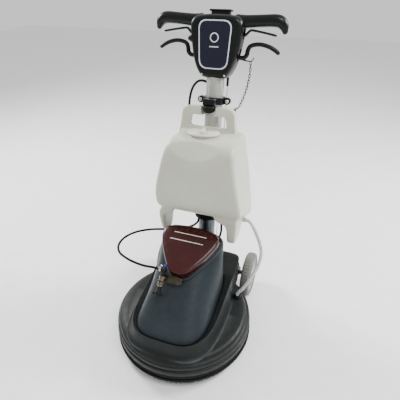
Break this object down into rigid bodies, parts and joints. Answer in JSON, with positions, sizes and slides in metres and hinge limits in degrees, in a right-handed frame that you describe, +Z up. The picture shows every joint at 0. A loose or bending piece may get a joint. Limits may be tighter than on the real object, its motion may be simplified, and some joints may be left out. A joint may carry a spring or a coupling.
{
  "type": "rotary floor machine",
  "caption": "Single-disc floor scrubber with a round brush deck, sloping motor cover, leaning tube handle with a solution tank, two-lever control head and rear transport wheels.",
  "frame": {"origin": "on the floor, under the middle of the outline of the machine without its hoses and cords", "axes": "+Z up, -Y the front of the deck, +Y the operator, +X the machine's right as seen from the front"},
  "size_m": [0.471, 0.6325, 0.9932],
  "materials": {
    "deck_plastic": "moulded, fine grain, dark grey",
    "cover_plastic": "moulded, satin, slate grey",
    "black_plastic": "moulded, semi-gloss black",
    "cap_plastic": "glossy burgundy",
    "rubber": "matt black",
    "tyre": "ribbed grey non-marking rubber",
    "tank_plastic": "translucent white polyethylene",
    "chrome": "bright plated",
    "dark_steel": "zinc plated, dull",
    "cast_metal": "cast, unpainted",
    "panel_film": "navy film, slightly scratched",
    "pale_plastic": "silver grey moulded",
    "bristle": "dark nylon bristles",
    "clear_hose": "translucent vinyl hose"
  },
  "bodies": {
    "deck": {"deck_shroud": "deck_plastic", "bumper_ring": "rubber", "motor_cover": "cover_plastic", "cover_gasket": "rubber", "cover_cap": "cap_plastic", "motor_housing": "cast_metal", "gearbox_housing": "cast_metal", "start_capacitor": "rubber", "rear_bracket": "dark_steel", "hinge_pin": "chrome", "lock_quadrant": "dark_steel", "wheel_axle": "dark_steel", "nozzle_bracket": "dark_steel", "nozzle_body": "chrome", "hose_barb": "black_plastic", "hose_grommet": "rubber", "cable_gland": "black_plastic", "spray_hose": "rubber", "solution_hose": "clear_hose", "motor_cable": "rubber"},
    "rotor": {"motor_rotor": "dark_steel"},
    "brush": {"drive_hub": "dark_steel", "brush_block": "deck_plastic", "bristle_ring": "bristle"},
    "wheel_left": {"wheel_tyre_left": "tyre", "wheel_hub_left": "pale_plastic"},
    "wheel_right": {"wheel_tyre_right": "tyre", "wheel_hub_right": "pale_plastic"},
    "nozzle_cap": {"nozzle_cap": "black_plastic"},
    "handle": {"column_foot": "cast_metal", "lower_tube": "dark_steel", "tank_collar": "rubber", "upper_tube": "chrome", "clamp_front": "black_plastic", "clamp_rear": "black_plastic", "clamp_bolt_left": "chrome", "clamp_bolt_right": "chrome", "solution_tank": "tank_plastic", "head_front_shell": "black_plastic", "head_rear_shell": "black_plastic", "head_frame": "dark_steel", "switch_box": "pale_plastic", "top_plate": "black_plastic", "panel_bezel": "pale_plastic", "control_panel": "panel_film", "hand_grip_left": "black_plastic", "hand_grip_right": "black_plastic", "head_screw_left": "chrome", "head_screw_right": "chrome", "head_cable": "rubber"},
    "switch_lever_left": {"switch_lever_left": "black_plastic"},
    "switch_lever_right": {"switch_lever_right": "black_plastic"},
    "tilt_lever": {"tilt_lever": "black_plastic"},
    "water_lever": {"water_lever": "black_plastic"},
    "safety_button": {"safety_button": "black_plastic"},
    "lock_pin": {"lock_pin": "chrome"},
    "valve_rod": {"valve_rod": "dark_steel", "water_chain": "chrome"},
    "tank_cap": {"tank_cap": "tank_plastic"},
    "tank_catch_knob": {"tank_catch_knob": "rubber"}
  },
  "joints": [
    {"name": "handle_tilt", "type": "hinge", "parent": "deck", "child": "handle", "pos_m": [0, 0.133, 0.15], "axis": [-1, 0, 0], "range_deg": [-9.9, 45], "deforming": ["spray_hose", "solution_hose", "motor_cable"]},
    {"name": "brush_spin", "type": "hinge", "parent": "deck", "child": "brush", "pos_m": [0, -0.088, 0.05], "axis": [0, 0, 1], "continuous": true},
    {"name": "motor_spin", "type": "hinge", "parent": "deck", "child": "rotor", "pos_m": [0, -0.088, 0.18], "axis": [0, 0, 1], "continuous": true},
    {"name": "wheel_left_spin", "type": "hinge", "parent": "deck", "child": "wheel_left", "pos_m": [-0.17, 0.162, 0.0865], "axis": [1, 0, 0], "continuous": true},
    {"name": "wheel_right_spin", "type": "hinge", "parent": "deck", "child": "wheel_right", "pos_m": [0.17, 0.162, 0.0865], "axis": [1, 0, 0], "continuous": true},
    {"name": "switch_left_squeeze", "type": "hinge", "parent": "handle", "child": "switch_lever_left", "pos_m": [-0.064, 0.26882, 0.92824], "axis": [0, 0.9851, -0.1719], "range_deg": [0, 5], "stiffness_Nm_per_rad": 2, "springref_deg": -8.59},
    {"name": "switch_right_squeeze", "type": "hinge", "parent": "handle", "child": "switch_lever_right", "pos_m": [0.064, 0.26882, 0.92824], "axis": [0, -0.9851, 0.1719], "range_deg": [0, 5], "stiffness_Nm_per_rad": 2, "springref_deg": -8.59},
    {"name": "tilt_squeeze", "type": "hinge", "parent": "handle", "child": "tilt_lever", "pos_m": [-0.058, 0.25799, 0.86617], "axis": [0, 0.9851, -0.1719], "range_deg": [0, 11], "stiffness_Nm_per_rad": 3, "springref_deg": -8.59},
    {"name": "water_squeeze", "type": "hinge", "parent": "handle", "child": "water_lever", "pos_m": [0.058, 0.25799, 0.86617], "axis": [0, -0.9851, 0.1719], "range_deg": [0, 11], "stiffness_Nm_per_rad": 3, "springref_deg": -8.59},
    {"name": "lock_pin_slide", "type": "slide", "parent": "handle", "child": "lock_pin", "axis": [0, 0.1719, 0.9851], "range_m": [0, 0.008]},
    {"name": "valve_rod_slide", "type": "slide", "parent": "handle", "child": "valve_rod", "axis": [0, 0.1719, 0.9851], "range_m": [0, 0.009]},
    {"name": "safety_button_press", "type": "slide", "parent": "handle", "child": "safety_button", "axis": [1, 0, 0], "range_m": [0, 0.005], "stiffness_N_per_m": 300, "springref_m": -0.004},
    {"name": "tank_cap_turn", "type": "hinge", "parent": "handle", "child": "tank_cap", "pos_m": [0, 0.12971, 0.66625], "axis": [0, 0.1719, 0.9851], "range_deg": [0, 90]},
    {"name": "catch_knob_turn", "type": "hinge", "parent": "handle", "child": "tank_catch_knob", "pos_m": [0, 0.18012, 0.72242], "axis": [0, 0.1719, 0.9851], "range_deg": [0, 180]},
    {"name": "nozzle_cap_turn", "type": "hinge", "parent": "deck", "child": "nozzle_cap", "pos_m": [-0.044, -0.15, 0.277], "axis": [0, 0.7547, 0.6561], "range_deg": [0, 90]}
  ],
  "couplings": [
    {"joint": "motor_spin", "follows": "brush_spin", "ratio": 8.5},
    {"joint": "lock_pin_slide", "follows": "tilt_squeeze", "m_per_rad": 0.041665},
    {"joint": "valve_rod_slide", "follows": "water_squeeze", "m_per_rad": 0.046874}
  ]
}
